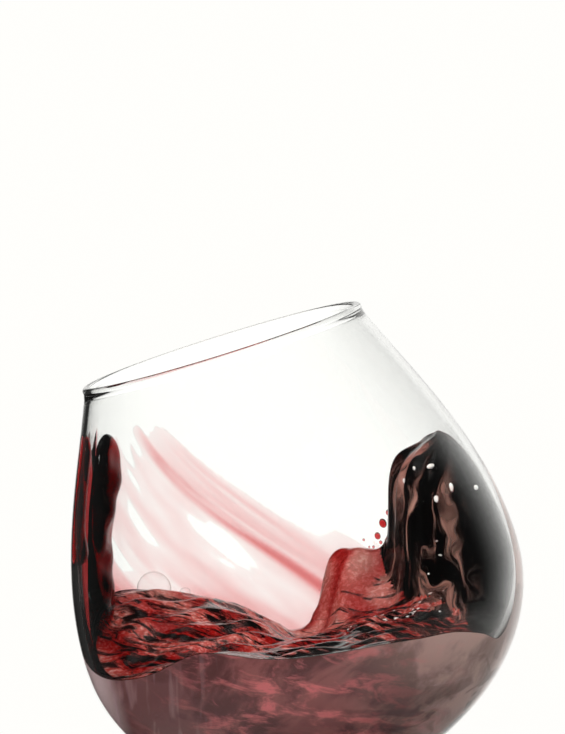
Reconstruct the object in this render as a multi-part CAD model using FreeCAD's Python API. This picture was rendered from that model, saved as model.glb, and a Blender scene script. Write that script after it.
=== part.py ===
"""A large balloon wine glass on a stem, with red wine swirling in its bowl.

Millimetres, +Z up. The origin is at the middle of the foot's underside, on the glass's own axis, and the
glass stands upright on a flat ring under its foot. The wine is caught in full swing: it has run down the
wall on the left and at the back, left a low trough in the middle, and climbs the wall on the right.

Nodes: glass (bowl, stem and foot are one piece of glass), wine (one connected body of liquid, from the base
of the bowl to the crest of the surge) and drip (a rivulet that clings to the inside of the wall by itself).
"""

import FreeCAD, Part  # noqa: E401  FreeCAD has to be loaded before Part

import os
from math import atan2, cos, exp, hypot, pi, radians, sin, sqrt, tanh

# --- The glass: driving sizes -----------------------------------------------------------------------------

rim_radius = 32.1  # outside, just under the lip's bead
rim_wall = 1.3
bead_radius = 0.9  # the fire-polished bead that ends the wall
belly_radius = 50.0  # outside, at the widest place
belly_wall = 1.6
belly_below_rim = 59.7
bowl_depth = 102.5  # from the lip down to the outside of the bowl's base, on the axis
base_wall = 5.0  # the bowl is thickest over the stem
stem_length = 94.0  # from the top of the foot's cone to the bowl's base
stem_radius = 3.6
neck_length = 28.0  # the upper end of the stem that widens into the bowl
foot_radius = 38.0
foot_edge = 1.6  # thickness of the foot at its edge
foot_rise = 6.5  # height of the foot's cone where the stem begins
foot_hollow = 1.2  # how far the middle of the underside lies above the resting ring
resting_ring = 4.5  # width of the flat ring that the glass stands on

# The bowl's curve, as Bezier handles: shares of the height they span, or a slope.
rim_opening = 0.40  # how much the wall widens for each millimetre below the lip
rim_handle = 0.27
shoulder_handle = 0.386
hip_handle = 0.676
base_handle = 0.35  # share of the belly's radius
stem_join = 0.72  # where on the base curve the neck leaves the bowl, from 0 at the belly to 1
neck_fullness = 0.45  # how far the neck's curve holds back from the corner of stem and bowl
cone_waist = 0.21  # where the foot's top curves up into the stem, as a share of the foot's radius
cone_fullness = 0.6  # height of that curve's middle pole, as a share of the foot's rise
cone_head = 0.26  # how far the stem's straight part starts above the cone, as a share of the foot's radius

# --- The wine: driving sizes ------------------------------------------------------------------------------

fill_below_rim = 67.4  # mean level on the glass's axis
level_slope = 0.16  # the swinging wine stands higher on the left by this much for each millimetre

surge_azimuth = 19.0  # degrees from +X towards +Y: where the wave climbs the wall
surge_reach = 23.5  # from the wall to the foot of the wave's steep face
surge_half_width = 34.0  # along the wall
surge_rise = 29.0  # height of the steep face
surge_crest = 13.0  # what the back of the wave gains from its face to the wall
surge_steepest = 0.88  # where the face is steepest, as a share of the reach
surge_softness = 0.17  # how gently the steep face begins and ends, as a share of the reach
fold_count = 8  # folds round the surge
fold_depth = 1.2
fold_twist = 2.2  # radians that a fold turns from the crest to the foot of the face
fold_place = 0.72  # where the folds are deepest, as a share of the reach
fold_spread = 0.32  # and over how much of it they die away

bank_azimuth = 150.0  # where wine that ran down the wall has piled up
bank_reach = 34.0
bank_rise = 13.0
trough_depth = 13.0  # below the mean level, at the back between bank and surge
trough_half_width = 10.0
trough_length = 42.0
splash_azimuth = 71.0  # a low hump at the foot of the surge
splash_out = 34.0  # from the axis
splash_size = 12.5
splash_rise = 16.4
dip_azimuth = 195.0  # a dip in the line where the wine meets the near wall
dip_size = 24.5
dip_depth = 4.3
hollow_azimuth = 339.0  # a shallow hollow along the near wall on the surge's side
hollow_size = 16.0
hollow_depth = 6.0
swell_azimuth = 241.0  # and a hump beside it
swell_size = 11.0
swell_rise = 3.7

ripple_length = 9.0  # from crest to crest
ripple_depth = 0.5
ripple_trains = ((-58, 1.0, 1.0), (-31, 1.47, 0.8), (-92, 1.21, 0.6), (12, 1.83, 0.5))  # way, length, depth
ripple_bend = 2.2  # radians by which a crest wanders
ripple_bend_length = 15.0  # over which it does so
ripple_rim = 6.0  # ripples die away over this distance from the wall

run_top_azimuth = 152.0  # the sheet of wine that still runs down the wall into the bank
run_foot_azimuth = 165.0
run_top_below_rim = 12.5
run_foot_above_belly = 2.0
run_half_width = 7.6
run_half_depth = 4.6
run_waist = 0.80  # share of its width that it narrows to on its way down
run_nose = 11.0  # length of its rounded upper end
run_flare = 2.1  # widening where it enters the bank
run_flare_length = 9.0

drip_azimuth = 188.0
drip_top_below_rim = 10.0
drip_length = 27.0
drip_half_width = 1.9
drip_half_depth = 1.6
drip_nose = 5.0  # length of its rounded upper end
drip_bulb = 1.5  # the drop at its lower end is this many times as wide and deep
drip_bulb_length = 7.0
drip_bulb_place = 2.5  # how far above the drop's end it is fullest

run_stations = 16  # ellipses that a run passes through
drip_stations = 22
wall_halvings = 40  # halvings in the search for a height on the wall's curve
tip_share = 0.2  # a run or drip starts as an ellipse of this share of its width
surface_step = 2.0  # spacing of the points that the wine's surface passes through
wine_below_base = 5.0  # how far tools that cut the wine reach past it


# --- Heights that follow ----------------------------------------------------------------------------------

base_height = foot_rise + stem_length
rim_height = base_height + bowl_depth
bead_height = rim_height - bead_radius  # of the bead's middle
lip_height = bead_height - sqrt(bead_radius**2 - (rim_wall / 2) ** 2)  # where the wall meets the bead
belly_height = rim_height - belly_below_rim
inner_base_height = base_height + base_wall


def point(radius, height):
    """A point of the glass's profile, in the XZ plane."""
    return FreeCAD.Vector(radius, 0, height)


def bezier(poles, start=0.0, end=1.0):
    """The stretch of a Bezier curve between two of its parameters."""
    curve = Part.BezierCurve()
    curve.setPoles(poles)
    if (start, end) != (0.0, 1.0):
        curve.segment(start, end)
    return curve


def wall_curves(inset, belly_inset, base_z):
    """The two Bezier curves of the bowl's wall, from the lip to the axis, set in from the outside."""
    lip = point(rim_radius - inset, lip_height)
    belly = point(belly_radius - belly_inset, belly_height)
    upper = lip_height - belly_height
    lower = belly_height - base_z
    lip_handle = point(lip.x + rim_opening * rim_handle * upper, lip_height - rim_handle * upper)
    shoulder = point(belly.x, belly_height + shoulder_handle * upper)
    hip = point(belly.x, belly_height - hip_handle * lower)
    base = point(0, base_z)
    base_side = point(base_handle * belly.x, base_z)
    return [lip, lip_handle, shoulder, belly], [belly, hip, base_side, base]


def glass_profile():
    """The closed profile of the glass, from the underside of the foot round to the bottom of the bowl."""
    outer_upper, outer_lower = wall_curves(0, 0, base_height)
    inner_upper, inner_lower = wall_curves(rim_wall, belly_wall, inner_base_height)

    foot_side = foot_edge / 2
    ring_outer = point(foot_radius - foot_side, 0)
    ring_inner = point(ring_outer.x - resting_ring, 0)
    hollow_top = point(0, foot_hollow)
    hollow_side = point(ring_inner.x / 2, foot_hollow)
    edge_middle = point(foot_radius, foot_side)
    edge_top = point(foot_radius - foot_side, foot_edge)
    cone_side = point(foot_radius * cone_waist, foot_edge + foot_rise * cone_fullness)
    cone_top = point(stem_radius, foot_rise)
    stem_foot = point(stem_radius, foot_rise + foot_radius * cone_head)
    stem_head = point(stem_radius, base_height - neck_length)

    base_curve = bezier(outer_lower)
    joint = base_curve.value(stem_join)
    along = base_curve.tangent(stem_join)[0]
    to_stem = (joint.x - stem_radius) / abs(along.x)
    bowl_side = joint + along * to_stem * (1 - neck_fullness)
    stem_side = point(stem_radius, joint.z - (joint.z - stem_head.z) * neck_fullness)

    curves = [
        bezier([hollow_top, hollow_side, ring_inner]),
        Part.LineSegment(ring_inner, ring_outer),
        Part.Arc(ring_outer, edge_middle, edge_top),
        bezier([edge_top, cone_side, cone_top, stem_foot]),
        Part.LineSegment(stem_foot, stem_head),
        bezier([stem_head, stem_side, bowl_side, joint]),
        bezier(list(reversed(outer_lower)), 1 - stem_join, 1.0),
        bezier(list(reversed(outer_upper))),
        Part.Arc(outer_upper[0], point(rim_radius - rim_wall / 2, rim_height), inner_upper[0]),
        bezier(inner_upper),
        bezier(inner_lower),
        Part.LineSegment(point(0, inner_base_height), hollow_top),
    ]
    return Part.Wire([curve.toShape() for curve in curves])


def turned(wire):
    """The solid that a closed profile sweeps out round the axis."""
    return Part.Face(wire).revolve(FreeCAD.Vector(0, 0, 0), FreeCAD.Vector(0, 0, 1), 360)


def make_cavity():
    """The space inside the bowl, up to the lip."""
    upper, lower = wall_curves(rim_wall, belly_wall, inner_base_height)
    curves = [
        bezier(upper),
        bezier(lower),
        Part.LineSegment(point(0, inner_base_height), point(0, lip_height)),
        Part.LineSegment(point(0, lip_height), upper[0]),
    ]
    return turned(Part.Wire([curve.toShape() for curve in curves]))


# --- The wine's surface -----------------------------------------------------------------------------------


def in_frame_of(azimuth, x, y):
    """Distance along an azimuth, and across it."""
    turn = radians(azimuth)
    return x * cos(turn) + y * sin(turn), y * cos(turn) - x * sin(turn)


def hump(distance, size):
    """1 at the middle, falling smoothly to nothing a few sizes away."""
    return exp(-((distance / size) ** 2))


def surge_height(x, y, wall_radius):
    """The wave on the right: a steep folded face, and a back that goes on rising to the wall."""
    along, across = in_frame_of(surge_azimuth, x, y)
    reach = (wall_radius - along) / surge_reach
    spread = across / surge_half_width
    away = hypot(reach, spread)  # 0 at the crest on the wall, 1 at the foot of the face
    face = 0.5 * (1 + tanh((surge_steepest - away) / surge_softness))
    turn = fold_count * atan2(spread, reach) + fold_twist * away
    folds = fold_depth * sin(turn) * hump(away - fold_place, fold_spread)
    return face * (surge_rise + surge_crest * max(0.0, 1 - away)) + folds


def bank_height(x, y, wall_radius):
    """The pile on the left, under the place where wine runs down the wall."""
    along, across = in_frame_of(bank_azimuth, x, y)
    return bank_rise * hump(wall_radius - along, bank_reach) * hump(across, bank_reach)


def trough_height(x, y, wall_radius):
    """The hollow at the back that the wine has swung out of."""
    return -trough_depth * hump(x, trough_half_width) * hump(wall_radius - y, trough_length)


def mound(azimuth, out, size, rise, x, y):
    """A round hump at a distance out from the axis, or a dip if its rise is negative."""
    along, across = in_frame_of(azimuth, x, y)
    return rise * hump(hypot(along - out, across), size)


def ripple_height(x, y, wall_radius):
    """Small waves of several lengths that cross, and that die away at the wall and round the surge."""
    total = 0.0
    for azimuth, length_share, depth_share in ripple_trains:
        along, across = in_frame_of(azimuth, x, y)
        bend = ripple_bend * sin(across / ripple_bend_length + azimuth)
        total += depth_share * sin(2 * pi * along / (length_share * ripple_length) + bend + azimuth)
    along, across = in_frame_of(surge_azimuth, x, y)
    calm_wall = 1 - hump(max(wall_radius - hypot(x, y), 0.0), ripple_rim)
    calm_surge = 1 - hump(hypot((wall_radius - along) / surge_reach, across / surge_half_width), 1.0)
    return ripple_depth * total * calm_wall * calm_surge


def surface_height(x, y):
    """Height of the wine's surface over a point of the table."""
    wall_radius = belly_radius - belly_wall
    return (
        rim_height
        - fill_below_rim
        - level_slope * x
        + surge_height(x, y, wall_radius)
        + bank_height(x, y, wall_radius)
        + trough_height(x, y, wall_radius)
        + mound(splash_azimuth, splash_out, splash_size, splash_rise, x, y)
        + mound(dip_azimuth, wall_radius, dip_size, -dip_depth, x, y)
        + mound(hollow_azimuth, wall_radius, hollow_size, -hollow_depth, x, y)
        + mound(swell_azimuth, wall_radius, swell_size, swell_rise, x, y)
        + ripple_height(x, y, wall_radius)
    )


def below_surface():
    """Everything under the wine's surface, as a block that is wider than the bowl."""
    steps = int(belly_radius / surface_step) + 1
    ticks = [i * surface_step for i in range(-steps, steps + 1)]
    grid = [[FreeCAD.Vector(x, y, surface_height(x, y)) for y in ticks] for x in ticks]
    sheet = Part.BSplineSurface()
    sheet.interpolate(grid)
    depth = rim_height - base_height + wine_below_base
    return sheet.toShape().extrude(FreeCAD.Vector(0, 0, -depth))


# --- Wine on the wall -------------------------------------------------------------------------------------


def bezier_value(poles, t):
    """The point at parameter t of a cubic Bezier curve."""
    shares = ((1 - t) ** 3, 3 * t * (1 - t) ** 2, 3 * t * t * (1 - t), t**3)
    return sum((pole * share for pole, share in zip(poles, shares)), FreeCAD.Vector())


def inner_wall(height):
    """The inner wall's radius at a height above the belly, and its direction there, going down."""
    upper = wall_curves(rim_wall, belly_wall, inner_base_height)[0]
    low, high = 0.0, 1.0
    for _ in range(wall_halvings):
        middle = (low + high) / 2
        if bezier_value(upper, middle).z > height:
            low = middle
        else:
            high = middle
    step = 1e-4
    here = bezier_value(upper, low)
    ahead = bezier_value(upper, min(low + step, 1.0)) - bezier_value(upper, low - step)
    return here.x, ahead.normalize()


def ellipse_on_wall(azimuth, height, half_width, half_depth):
    """An ellipse centred on the inner wall, square to the way down the wall."""
    radius, down = inner_wall(height)
    turn = FreeCAD.Rotation(FreeCAD.Vector(0, 0, 1), azimuth)
    centre = turn.multVec(point(radius, height))
    normal = turn.multVec(down)
    across = turn.multVec(FreeCAD.Vector(0, 1, 0))
    inward = normal.cross(across)
    if half_width >= half_depth:
        ellipse = Part.Ellipse(centre + across * half_width, centre + inward * half_depth, centre)
    else:
        ellipse = Part.Ellipse(centre + inward * half_depth, centre + across * half_width, centre)
    return Part.Wire([ellipse.toShape()])


def on_wall(cavity, stations):
    """A rounded sheet of liquid on the inner wall: ellipses joined down the wall, cut by the wall itself."""
    rings = [ellipse_on_wall(*station) for station in stations]
    return Part.makeLoft(rings, True, False).common(cavity)


def eased(count):
    """Shares from 0 to 1 that lie closer together at both ends."""
    return [0.5 - 0.5 * cos(pi * i / (count - 1)) for i in range(count)]


def round_end(distance, length):
    """Width of a rounded end of a given length, from its tip to where it is full."""
    share = min(distance / length, 1.0)
    return max(sqrt(share * (2 - share)), tip_share)


def make_run(cavity):
    """The sheet of wine that runs down the wall: a rounded upper end, a waist, and a foot that spreads."""
    top = rim_height - run_top_below_rim
    length = top - belly_height - run_foot_above_belly
    stations = []
    for share in eased(run_stations):
        fallen = length * share
        flare = 1 + (run_flare - 1) * hump(length - fallen, run_flare_length)
        size = round_end(fallen, run_nose) * (1 - (1 - run_waist) * share)
        azimuth = run_top_azimuth + (run_foot_azimuth - run_top_azimuth) * share
        half_width = run_half_width * size * flare
        half_depth = run_half_depth * size * sqrt(flare)
        stations.append((azimuth, top - fallen, half_width, half_depth))
    return on_wall(cavity, stations)


def make_drip(cavity):
    """A rivulet with a drop at its lower end."""
    top = rim_height - drip_top_below_rim
    stations = []
    for share in eased(drip_stations):
        fallen = drip_length * share
        left = drip_length - fallen
        bulb = 1 + (drip_bulb - 1) * hump(left - drip_bulb_place, drip_bulb_length / 2)
        size = round_end(fallen, drip_nose) * round_end(left, drip_bulb * drip_half_width) * bulb
        stations.append((drip_azimuth, top - fallen, drip_half_width * size, drip_half_depth * size))
    return on_wall(cavity, stations)


def make_wine(cavity):
    """The whole body of wine: what lies under its surface in the bowl, with the run on the wall."""
    pool = below_surface().common(cavity)
    return pool.fuse(make_run(cavity)).removeSplitter()


def main():
    cavity = make_cavity()
    pieces = {
        "glass": turned(glass_profile()),
        "wine": make_wine(cavity),
        "drip": make_drip(cavity),
    }
    os.makedirs("parts", exist_ok=True)
    for name, shape in pieces.items():
        solids = shape.Solids
        if len(solids) != 1 or not shape.isValid():
            raise RuntimeError(f"{name}: {len(solids)} solids, valid: {shape.isValid()}")
        solids[0].exportStep(f"parts/{name}.step")
        box = solids[0].BoundBox
        sides = f"{box.XLength:.1f} x {box.YLength:.1f} x {box.ZLength:.1f} mm"
        print(f"{name}: {solids[0].Volume / 1000:.1f} ml, {sides}")


main()
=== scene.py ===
# %% [markdown]
# # A glass of red wine, caught in mid-swirl
#
# A big balloon glass stands on its foot while the wine in it still swings: it runs down the wall on the
# left, leaves a hollow in the middle and climbs the wall on the right. Almost nothing here has a colour
# of its own. The glass only bends light, and the wine only swallows it: a millimetre looks bright red, a
# centimetre black. So the work goes into exact shapes, one recipe for the liquid, and thin layers of
# froth and film where the real thing has them.
#
# The packed model is loaded first. It gives the place and size of everything, and it stays as it is.

# %% Load the fixed frame
from math import atan2, cos, pi, radians, sin, sqrt

import bmesh
import bpy
import numpy as np
from mathutils import Matrix, Vector, noise


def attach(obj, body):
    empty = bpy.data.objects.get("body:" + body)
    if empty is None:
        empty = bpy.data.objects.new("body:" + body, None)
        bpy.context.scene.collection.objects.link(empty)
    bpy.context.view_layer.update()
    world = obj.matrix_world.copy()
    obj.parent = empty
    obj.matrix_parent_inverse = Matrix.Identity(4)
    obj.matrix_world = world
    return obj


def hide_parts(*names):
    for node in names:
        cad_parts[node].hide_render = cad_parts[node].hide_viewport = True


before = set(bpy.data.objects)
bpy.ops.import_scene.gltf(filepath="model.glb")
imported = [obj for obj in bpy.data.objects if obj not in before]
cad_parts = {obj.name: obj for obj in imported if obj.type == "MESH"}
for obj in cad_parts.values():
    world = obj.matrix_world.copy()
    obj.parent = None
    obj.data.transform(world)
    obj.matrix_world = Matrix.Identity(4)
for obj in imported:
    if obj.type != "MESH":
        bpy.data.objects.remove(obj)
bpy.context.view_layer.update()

# %% [markdown]
# ## Sizes
#
# These are the sizes that the solid model is made from, in millimetres, under the same names. Everything
# below follows them, so the looks lie exactly on the solids.

# %% The glass's sizes
MM = 0.001
rim_radius, rim_wall, bead_radius = 32.1, 1.3, 0.9
belly_radius, belly_wall, belly_below_rim = 50.0, 1.6, 59.7
bowl_depth, base_wall = 102.5, 5.0
stem_length, stem_radius, neck_length = 94.0, 3.6, 28.0
foot_radius, foot_edge, foot_rise, foot_hollow, resting_ring = 38.0, 1.6, 6.5, 1.2, 4.5
rim_opening, rim_handle, shoulder_handle, hip_handle, base_handle = 0.40, 0.27, 0.386, 0.676, 0.35
stem_join, neck_fullness = 0.72, 0.45
cone_waist, cone_fullness, cone_head = 0.21, 0.6, 0.26

base_height = foot_rise + stem_length
rim_height = base_height + bowl_depth
bead_height = rim_height - bead_radius
lip_height = bead_height - sqrt(bead_radius**2 - (rim_wall / 2) ** 2)
belly_height = rim_height - belly_below_rim
inner_base_height = base_height + base_wall
print(f"rim at {rim_height:.1f} mm, belly at {belly_height:.1f} mm")

# %% [markdown]
# The wine's sizes follow: the level, then each shape that is added to it, then the run and the drip on
# the wall. Directions are in degrees round the glass, 0 to the right and 90 to the back.

# %% The wine's sizes
fill_below_rim, level_slope = 67.4, 0.16
surge_azimuth, surge_reach, surge_half_width, surge_rise, surge_crest = 19.0, 23.5, 34.0, 29.0, 13.0
surge_steepest, surge_softness = 0.88, 0.17
fold_count, fold_depth, fold_twist, fold_place, fold_spread = 8, 1.2, 2.2, 0.72, 0.32
bank_azimuth, bank_reach, bank_rise = 150.0, 34.0, 13.0
trough_depth, trough_half_width, trough_length = 13.0, 10.0, 42.0
splash_azimuth, splash_out, splash_size, splash_rise = 71.0, 34.0, 12.5, 16.4
dip_azimuth, dip_size, dip_depth = 195.0, 24.5, 4.3
hollow_azimuth, hollow_size, hollow_depth = 339.0, 16.0, 6.0
swell_azimuth, swell_size, swell_rise = 241.0, 11.0, 3.7
ripple_length, ripple_depth, ripple_rim = 9.0, 0.5, 6.0
ripple_trains = ((-58, 1.0, 1.0), (-31, 1.47, 0.8), (-92, 1.21, 0.6), (12, 1.83, 0.5))
ripple_bend, ripple_bend_length = 2.2, 15.0
run_top_azimuth, run_foot_azimuth, run_top_below_rim, run_foot_above_belly = 152.0, 165.0, 12.5, 2.0
run_half_width, run_half_depth, run_waist, run_nose = 7.6, 4.6, 0.80, 11.0
run_flare, run_flare_length = 2.1, 9.0
drip_azimuth, drip_top_below_rim, drip_length = 188.0, 10.0, 27.0
drip_half_width, drip_half_depth, drip_nose = 1.9, 1.6, 5.0
drip_bulb, drip_bulb_length, drip_bulb_place = 1.5, 7.0, 2.5

meniscus = 0.4  # how far the wine creeps up where it meets the glass
into_wall = 0.15  # the wine's sides reach this far into the glass, so that no film of air shows between them
belly_inside = belly_radius - belly_wall
print(f"level {fill_below_rim} mm under the rim, surge {surge_rise + surge_crest} mm over the level")

# %% [markdown]
# ## Helpers for making shapes
#
# The outlines of blown glass are smooth pulls with a few round ends, so a Bezier curve and an arc draw
# them all. Drawing them by hand as curves in Blender would work too, but here they follow the sizes.


# %% Curves
def bezier(poles, count):
    """Points along a Bezier curve with three or four poles."""
    t = np.linspace(0, 1, count)[:, None]
    p = np.array(poles, float)
    if len(p) == 3:
        return (1 - t) ** 2 * p[0] + 2 * t * (1 - t) * p[1] + t**2 * p[2]
    return (1 - t) ** 3 * p[0] + 3 * t * (1 - t) ** 2 * p[1] + 3 * t * t * (1 - t) * p[2] + t**3 * p[3]


def arc(centre, radius, start, end, count):
    """Points along an arc, angles in degrees."""
    a = np.radians(np.linspace(start, end, count))
    return np.stack([centre[0] + radius * np.cos(a), centre[1] + radius * np.sin(a)], 1)


print("a quarter of a circle in four points:", arc((0, 0), 1, 0, 90, 4).round(2).tolist())

# %% [markdown]
# The glass, the wine and the films on the wall are all grids: rows of points with quads between them. A
# grid closes into a ring and is capped, or it's laid twice, face and back, as a thin closed sheet. Where
# the sheet is dry, its quads are left out.


# %% Grids of points
def grid_faces(rows, columns, closed):
    """Quads between rows of points, joined round into a ring if closed."""
    i, j = np.meshgrid(np.arange(rows - 1), np.arange(columns if closed else columns - 1), indexing="ij")
    k = (j + 1) % columns
    quads = np.stack([i * columns + j, i * columns + k, (i + 1) * columns + k, (i + 1) * columns + j], -1)
    return quads.reshape(-1, 4).tolist()


def caps(columns, rows, start_point, end_point):
    """Triangles that close the first and the last of a grid's rings."""
    end = (rows - 1) * columns
    for j in range(columns):
        k = (j + 1) % columns
        yield [start_point, k, j]
        yield [end + j, end + k, end_point]


def spun(r, z, angle):
    """Points at a radius and height, turned to an angle round the axis."""
    return np.stack([r * np.cos(angle), r * np.sin(angle), z + 0 * angle], -1)


def wet_quads(grid_shape, wet, closed=False):
    """The quads of a grid whose four corners are all wet."""
    rows, columns = grid_shape
    wet = np.asarray(wet).reshape(-1)
    return [quad for quad in grid_faces(rows, columns, closed) if wet[quad].all()]


def only_used(points, quads):
    """The points that the quads use, and the quads that count those points alone."""
    used, place = np.unique(np.array(quads), return_inverse=True)
    return points[used], place.reshape(-1, 4).tolist()


def closed_sheet(front, rear, wet):
    """A closed sheet between two grids of points, without the dry quads, and with walls round every edge."""
    count = front.shape[0] * front.shape[1]
    quads = wet_quads(front.shape[:2], wet)
    edges = {(quad[k], quad[(k + 1) % 4]) for quad in quads for k in range(4)}
    walls = [[b, a, count + a, count + b] for a, b in sorted(edges) if (b, a) not in edges]
    quads = quads + [[count + i for i in quad[::-1]] for quad in quads] + walls
    return only_used(np.concatenate([front.reshape(-1, 3), rear.reshape(-1, 3)]), quads)


print("the quads between two rows of three points:", grid_faces(2, 3, False))

# %% [markdown]
# Meshes are worked out in millimetres and shrunk to metres here. A solid's faces must all look outward,
# because the renderer decides from them what is inside, and only the inside of wine is red.


# %% Pieces from points
def new_mesh(name, points, faces, material):
    """A smooth shaded mesh from points in millimetres."""
    mesh = bpy.data.meshes.new(name)
    mesh.from_pydata((np.asarray(points, float) * MM).tolist(), [], faces)
    mesh.validate()
    mesh.materials.append(material)
    mesh.polygons.foreach_set("use_smooth", [True] * len(mesh.polygons))
    return mesh


def place_piece(name, mesh):
    """An object for a mesh, riding on the part's one body."""
    piece = bpy.data.objects.new(name, mesh)
    bpy.context.scene.collection.objects.link(piece)
    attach(piece, "root")
    triangles = sum(len(p.vertices) - 2 for p in mesh.polygons)
    print(f"{name}: {len(mesh.vertices)} points, {triangles} triangles")
    return piece


def make_solid(name, points, faces, material, slot=None, sharp=55):
    """A closed piece, with its faces turned outward."""
    mesh = new_mesh(name, points, faces, material)
    solid = bmesh.new()
    solid.from_mesh(mesh)
    bmesh.ops.recalc_face_normals(solid, faces=solid.faces)
    if solid.calc_volume(signed=True) < 0:
        bmesh.ops.reverse_faces(solid, faces=solid.faces)
    solid.to_mesh(mesh)
    solid.free()
    mesh.set_sharp_from_angle(angle=radians(sharp))
    return place_piece(name, mesh)


def make_sheet(name, grid, wet, material, closed=False):
    """An open sheet from a grid of points, without the dry quads."""
    quads = wet_quads(grid.shape[:2], wet, closed)
    return place_piece(name, new_mesh(name, *only_used(grid.reshape(-1, 3), quads), material))


def turned(name, profile, steps, material, slot):
    """A turned piece: a profile of (radius, height) that starts and ends on the axis, swept round it."""
    angle = np.linspace(0, 2 * pi, steps, endpoint=False)
    ring = np.asarray(profile[1:-1])
    points = spun(ring[:, :1], ring[:, 1:], angle).reshape(-1, 3)
    faces = grid_faces(len(ring), steps, True) + list(caps(steps, len(ring), len(points), len(points) + 1))
    points = np.vstack([points, [[0, 0, profile[0][1]], [0, 0, profile[-1][1]]]])
    return make_solid(name, points, faces, material, slot)


print("pieces ride on the body root")

# %% [markdown]
# ## Shader arithmetic
#
# Blender keeps every sum in a material as a node, which is hard to read in a script. `Value` wraps one
# output, so `noise * 0.5 + 0.2` writes the nodes by itself, and so does `1 - noise`. Only numbers go
# through it. Colours are blended by `Recipe.mix` and vectors by `Recipe.stretched`, and `Recipe.node`
# makes any other node.


# %% A small class for node arithmetic
class Value:
    """One output of a node tree that plain arithmetic extends with Math nodes."""

    def __init__(self, recipe, socket):
        self.recipe, self.socket = recipe, socket

    def math(self, operation, *others):
        return self.recipe.node("ShaderNodeMath", {"operation": operation}, [self, *others])

    def after(self, operation, first):
        """An operation with this value as the second of the two."""
        return self.recipe.node("ShaderNodeMath", {"operation": operation}, [first, self])

    def __add__(self, other):
        return self.math("ADD", other)

    def __sub__(self, other):
        return self.math("SUBTRACT", other)

    def __mul__(self, other):
        return self.math("MULTIPLY", other)

    def __truediv__(self, other):
        return self.math("DIVIDE", other)

    def __pow__(self, other):
        return self.math("POWER", other)

    def __neg__(self):
        return self * -1.0

    def __rsub__(self, other):
        return self.after("SUBTRACT", other)

    def __rtruediv__(self, other):
        return self.after("DIVIDE", other)

    def __rpow__(self, other):
        return self.after("POWER", other)

    __radd__, __rmul__ = __add__, __mul__

    def band(self, middle, width):
        """1 in the middle of a band, falling to 0 like a bell on both sides."""
        across = (self - middle) / width
        return (-(across * across)).math("EXPONENT")

    def smooth(self, low, high):
        """0 below low, 1 above high, and a smooth step between."""
        return self.recipe.node(
            "ShaderNodeMapRange", {"interpolation_type": "SMOOTHSTEP"},
            {"Value": self, "From Min": low, "From Max": high})


print("a Value knows", sorted(name for name in vars(Value) if name.startswith("__r")))

# %% [markdown]
# `Recipe` holds the node tree of a material, or of the surroundings, and gives short names to the nodes
# that this object needs most: the point on the piece, noise, a stretched point, a blend of two colours
# and a bump.


# %% A node tree and a short way to add to it
class Recipe:
    """The node tree of a material or a world."""

    def __init__(self, owner):
        owner.use_nodes = True
        self.owner, self.tree = owner, owner.node_tree

    def plug(self, socket, value):
        if isinstance(value, Value):
            self.tree.links.new(value.socket, socket)
        else:
            socket.default_value = value

    def node(self, kind, settings=None, inputs=None, output=0):
        """Adds a node: its settings first, then its inputs by name or in order. Gives one output."""
        made = self.tree.nodes.new(kind)
        for name, value in (settings or {}).items():
            setattr(made, name, value)
        named = inputs.items() if isinstance(inputs, dict) else enumerate(inputs or [])
        for name, value in named:
            self.plug(made.inputs[name], value)
        return Value(self, made.outputs[output])

    def set(self, node="Principled BSDF", **values):
        """Sets or links the sockets of a node that is there; a name's underscores stand for spaces."""
        for name, value in values.items():
            self.plug(self.tree.nodes[node].inputs[name.replace("_", " ")], value)

    def place(self):
        """The point on the piece in metres, in the object's own frame."""
        return self.node("ShaderNodeTexCoord", output="Object")

    def split(self, vector):
        """The three parts of a vector."""
        return [self.node("ShaderNodeSeparateXYZ", None, [vector], output=part) for part in range(3)]

    def joined(self, *parts):
        return self.node("ShaderNodeCombineXYZ", None, parts)

    def stretched(self, vector, scale, turn=(0, 0, 0)):
        """The same point turned, then scaled to numbers a noise can use."""
        turned_vector = self.node(
            "ShaderNodeMapping", {"vector_type": "POINT"}, {"Vector": vector, "Rotation": turn})
        return self.node("ShaderNodeVectorMath", {"operation": "MULTIPLY"}, [turned_vector, scale])

    def noise(self, vector, scale=1.0, detail=3.0, roughness=0.5, distortion=0.0):
        return self.node("ShaderNodeTexNoise", None, {
            "Vector": vector, "Scale": scale, "Detail": detail, "Roughness": roughness,
            "Distortion": distortion})

    def mix(self, factor, first, second):
        """A colour between two colours."""
        colour_a, colour_b = 6, 7
        return self.node(
            "ShaderNodeMix", {"data_type": "RGBA"},
            {"Factor": factor, colour_a: first, colour_b: second}, output=2)

    def bump(self, height, strength, distance):
        self.set(Normal=self.node(
            "ShaderNodeBump", None, {"Height": height, "Strength": strength, "Distance": distance}))


def new_finish(name):
    """A recipe for a new material."""
    return Recipe(bpy.data.materials.new(name))


print("a Recipe knows", [name for name in vars(Recipe) if not name.startswith("_")])

# %% [markdown]
# ## The clear glass
#
# Hand-blown crystal is perfectly smooth close up but not perfectly round: it keeps slow, shallow waves
# from the blowing, which make a highlight wander a little. A very low bump does that. Fingers and a
# drying cloth leave it a touch less polished in places, so the roughness rises by a hair there. The glass
# could be faked with a see-through colour, but then nothing behind it would bend, so it is real
# transmission.

# %% Clear glass
glass_recipe = new_finish("clear_glass")
spot = glass_recipe.place()
waves = glass_recipe.noise(spot, 38.0, 2.0, 0.5)
smears = glass_recipe.noise(glass_recipe.stretched(spot, (60.0, 60.0, 14.0)), 1.0, 4.0, 0.6)
glass_recipe.set(
    Base_Color=(0.985, 0.992, 0.985, 1), Transmission_Weight=1.0, IOR=1.5,
    Roughness=smears.smooth(0.55, 0.95) * 0.035)
glass_recipe.bump(waves, 0.12, 0.0004)
clear_glass = glass_recipe.owner
print("finish", clear_glass.name)

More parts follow.
